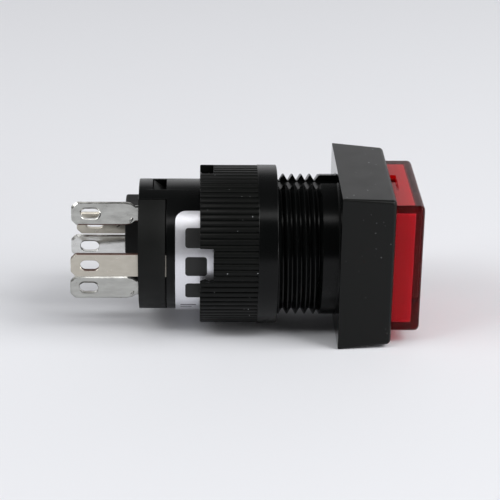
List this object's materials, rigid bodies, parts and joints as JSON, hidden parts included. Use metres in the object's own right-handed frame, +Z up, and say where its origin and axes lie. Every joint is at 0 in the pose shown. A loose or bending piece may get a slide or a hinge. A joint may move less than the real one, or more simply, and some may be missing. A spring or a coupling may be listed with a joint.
{
  "type": "illuminated momentary switch",
  "caption": "Square illuminated push-button switch with a red lens, threaded barrel, knurled locking nut and solder terminals, lying on its side.",
  "frame": {"origin": "on the surface that the switch lies on, under the middle of its overall box", "axes": "+X along the switch axis towards the button's face, +Z up, terminals point along -X"},
  "size_m": [0.039, 0.018, 0.018],
  "materials": {
    "black_satin_plastic": "satin moulded thermoplastic",
    "black_gloss_plastic": "glossy moulded thermoplastic",
    "red_clear_plastic": "polished clear red polycarbonate",
    "milky_plastic": "milky light-scattering plastic",
    "ivory_plastic": "natural acetal",
    "red_led_epoxy": "clear red epoxy",
    "spring_steel": "drawn spring wire",
    "tinned_brass": "tin-plated stamped brass",
    "phosphor_bronze": "bare phosphor bronze strip",
    "silver_contact": "silver rivet contact",
    "silver_label": "silvered polyester label stock"
  },
  "bodies": {
    "switch_body": {"bezel_barrel": "black_satin_plastic", "contact_housing": "black_gloss_plastic", "terminal_base": "black_satin_plastic", "lamp_terminal_near": "tinned_brass", "lamp_terminal_far": "tinned_brass", "common_terminal": "tinned_brass", "normally_closed_terminal": "tinned_brass", "normally_open_terminal": "tinned_brass", "normally_closed_contact": "silver_contact", "normally_open_contact": "silver_contact", "return_spring": "spring_steel", "lamp_socket": "black_gloss_plastic", "led_bulb": "red_led_epoxy", "lamp_base": "ivory_plastic", "lamp_contact_near": "phosphor_bronze", "lamp_contact_far": "phosphor_bronze", "rating_label": "silver_label"},
    "button": {"lens_cap": "red_clear_plastic", "marking_plate": "milky_plastic", "diffuser": "milky_plastic", "button_holder": "black_gloss_plastic", "actuator": "ivory_plastic"},
    "contact_arm": {"moving_blade": "phosphor_bronze", "moving_contact": "silver_contact"},
    "nut": {"locking_nut": "black_satin_plastic"}
  },
  "joints": [
    {"name": "button_press", "type": "slide", "parent": "switch_body", "child": "button", "axis": [-1, 0, 0], "range_m": [0, 0.0028], "stiffness_N_per_m": 400, "springref_m": -0.0025, "deforming": ["return_spring"]},
    {"name": "contact_swing", "type": "hinge", "parent": "switch_body", "child": "contact_arm", "pos_m": [-0.00739, -0.0006, 0.009], "axis": [0, 1, 0], "range_deg": [0, 11.46]},
    {"name": "nut_turn", "type": "hinge", "parent": "switch_body", "child": "nut", "pos_m": [-0.00077, 0, 0.009], "axis": [1, 0, 0], "continuous": true}
  ],
  "couplings": [
    {"joint": "contact_swing", "follows": "button_press", "rad_per_m": 71.42}
  ]
}
